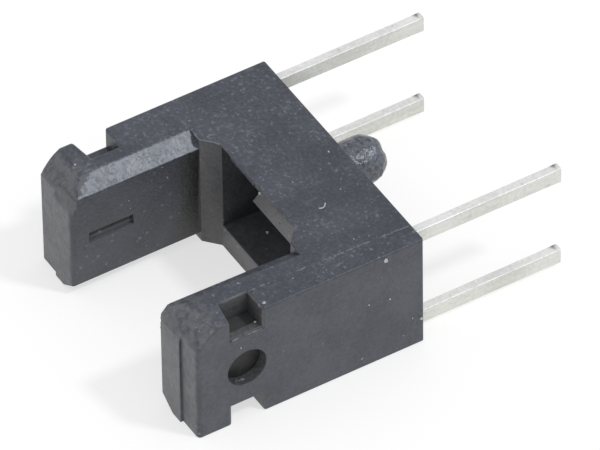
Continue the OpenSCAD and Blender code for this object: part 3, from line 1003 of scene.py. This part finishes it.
def build_flash_sweep():
    """A ring of uneven size, swept along a path that wanders a little."""
    number = "NodeSocketFloat"
    sockets = {"Width mm": number, "Least": number, "Sink mm": number, "Finish": "NodeSocketMaterial"}
    tree, given, result = new_scatter("flash_sweep", sockets)
    path = put(tree, "GeometryNodeMeshToCurve", {"Mesh": given["Geometry"]})
    steps = {"Curve": path.outputs[0], "Length": PATH_STEP}
    fine = put(tree, "GeometryNodeResampleCurve", steps, mode="LENGTH")
    place = put(tree, "GeometryNodeInputPosition").outputs[0]
    wander = put(tree, "ShaderNodeTexNoise", {"Vector": place, "Scale": WANDER_SCALE, "Detail": 2.0})
    middle = {0: wander.outputs["Color"], 1: (0.5, 0.5, 0.5)}
    sideways = put(tree, "ShaderNodeVectorMath", middle, operation="SUBTRACT")
    reach = {0: sideways.outputs[0], 1: (WANDER, WANDER, 0)}
    amount = put(tree, "ShaderNodeVectorMath", reach, operation="MULTIPLY")
    moved = put(tree, "GeometryNodeSetPosition", {"Geometry": fine.outputs[0], "Offset": amount.outputs[0]})
    swell = clouds(tree, place, SWELL_SCALE, 2.0)
    share = put(tree, "ShaderNodeMapRange", {"Value": swell, "From Min": SWELL_FROM, "From Max": SWELL_TO})
    spare = sums(tree, "SUBTRACT", 1.0, given["Least"])
    full = sums(tree, "ADD", sums(tree, "MULTIPLY", share.outputs[0], spare), given["Least"])
    radius = sums(tree, "MULTIPLY", sums(tree, "MULTIPLY", given["Width mm"], MM / 2), full)
    ring = put(tree, "GeometryNodeCurvePrimitiveCircle", {"Resolution": RING_SIDES, "Radius": 1.0})
    sweep_inputs = {"Curve": moved.outputs[0], "Profile Curve": ring.outputs[0], "Scale": radius}
    swept = put(tree, "GeometryNodeCurveToMesh", {**sweep_inputs, "Fill Caps": True})
    lower = put(tree, "ShaderNodeCombineXYZ", {"Z": sums(tree, "MULTIPLY", given["Sink mm"], -MM)})
    sunk = put(tree, "GeometryNodeSetPosition", {"Geometry": swept.outputs[0], "Offset": lower.outputs[0]})
    return end_scatter(tree, sunk.outputs[0], given["Finish"], result)


def path_mesh(name, path):
    """An open path, given in millimetres, as a mesh of edges."""
    mesh = bpy.data.meshes.new(name)
    mesh.from_pydata([Vector(p) * MM for p in path], [(i, i + 1) for i in range(len(path) - 1)], [])
    return mesh


flash_sweep = build_flash_sweep()


def sweep(piece_name, path, finish, width, least, sink=0.0):
    """One piece swept along a path, with its width, the least share of it, and how deep it sinks."""
    values = {"Width mm": width, "Least": least, "Sink mm": sink, "Finish": finish}
    return grow(piece_name, path_mesh(piece_name, path), flash_sweep, values)


HOLE_Y, HOLE_RADIUS, HOLE_X = -4.64, 0.49, 3.30
# painted highlight: the flash is painted paler than the body, for the light on its crest
flash_painted_light_shades = (0.075, 0.079, 0.088, 1), (0.20, 0.205, 0.22, 1)
flash_plastic_painted_light = build_black_plastic("flash_plastic_painted_light", *flash_painted_light_shades)
top_line = [(2.79, -4.20, TOP), (2.83, -2.4, TOP), (2.91, -0.06, TOP)]
corner_line = [(-2.36, CHAMFER_Y, TOP), (-SLOT_SIDE, CHAMFER_Y, TOP), (-1.61, WALL_Y, TOP)]
notch_line = [(SIDE, -5.04, 1.04), (SIDE, -4.24, 1.04)]
# painted glint: a pale sweep low in the round hole, where its wall catches the light
hole_angles = (-0.55, -0.4, -0.25, -0.1, 0.05)
hole_glint_path = [(HOLE_X, HOLE_Y + HOLE_RADIUS * math.sin(a), -HOLE_RADIUS * math.cos(a)) for a in hole_angles]
burr_line = [(-1.55, WALL_Y + 0.05, TOP - 0.055), (-0.8, WALL_Y, TOP - 0.05), (-0.1, WALL_Y, TOP - 0.06)]
flash = [
    sweep("top_flash", top_line, flash_plastic_painted_light, width=0.07, least=0.1, sink=0.010),
    sweep("corner_flash", corner_line, flash_plastic_painted_light, width=0.045, least=0.5, sink=0.006),
    sweep("notch_flash", notch_line, flash_plastic_painted_light, width=0.05, least=0.2, sink=0.012),
    sweep("hole_painted_glint", hole_glint_path, flash_plastic_painted_light, width=0.09, least=0.25),
    sweep("slot_burr", burr_line, black_plastic, width=0.10, least=0.7),
]
print("faces in the flash:", [len(piece.data.polygons) for piece in flash])

# %% [markdown]
# ## Crumbs and a thread of lint
#
# A few crumbs are large enough to be seen one by one: on the side, at the notch and in the pocket. The
# pale crumb in the hole is a painted glint, put where the hole's lower wall catches the light. A short
# curl of lint lies on the top. The crumbs are small balls with their points pushed about, and the lint is
# swept like the flash.

# %% Crumbs and lint
CRUMPLE = 0.5
crumb_places = [  # x, y, z and radius in millimetres
    (3.45, -0.08, -0.84, 0.044), (3.30, -4.09, 1.60, 0.048), (3.22, -4.28, 1.04, 0.036),
    (0.13, -2.27, 1.48, 0.045), (3.45, -1.00, 1.46, 0.055), (-0.84, -1.53, -0.94, 0.045),
    # painted glint: the second crumb on the next line lies in the round hole, for light on its wall
    (-2.76, -5.40, 1.60, 0.032), (3.29, -4.71, -0.47, 0.026), (3.45, -0.31, -0.72, 0.026),
    (3.45, -0.90, 0.19, 0.026), (3.45, -1.45, 0.29, 0.024), (-0.09, -0.33, 1.60, 0.024),
    (-0.97, 0.65, 0.58, 0.022),
]
crumb_work = bmesh.new()
for x, y, z, size in crumb_places:
    place = Matrix.Translation((x, y, z))
    ball = bmesh.ops.create_icosphere(crumb_work, subdivisions=1, radius=size, matrix=place)
    for point in ball["verts"]:
        point.co += noise.noise_vector(point.co / size) * size * CRUMPLE
bmesh.ops.scale(crumb_work, vec=(MM,) * 3, verts=crumb_work.verts)
crumb_mesh = bpy.data.meshes.new("crumbs")
crumb_work.to_mesh(crumb_mesh)
crumb_work.free()
pale_crumb = build_pale("pale_crumb", (0.36, 0.355, 0.34, 1), (0.78, 0.775, 0.75, 1))
crumb_mesh.materials.append(pale_crumb)
crumbs = bpy.data.objects.new("crumbs", crumb_mesh)
bpy.context.scene.collection.objects.link(crumbs)
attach(crumbs, "root")

CURL_X, CURL_Y, CURL_RADIUS, CURL_LIFT = 1.27, -1.40, 0.13, 0.006
curl_angles = (0.2, 0.6, 1.0, 1.4, 1.8, 2.2)
curl = [(CURL_X + CURL_RADIUS * math.sin(a), CURL_Y + CURL_RADIUS * math.cos(a), TOP + CURL_LIFT)
        for a in curl_angles]
lint = sweep("lint", curl, pale_crumb, width=0.04, least=0.8)
print("crumbs:", len(crumb_places), "and faces in the lint:", len(lint.data.polygons))
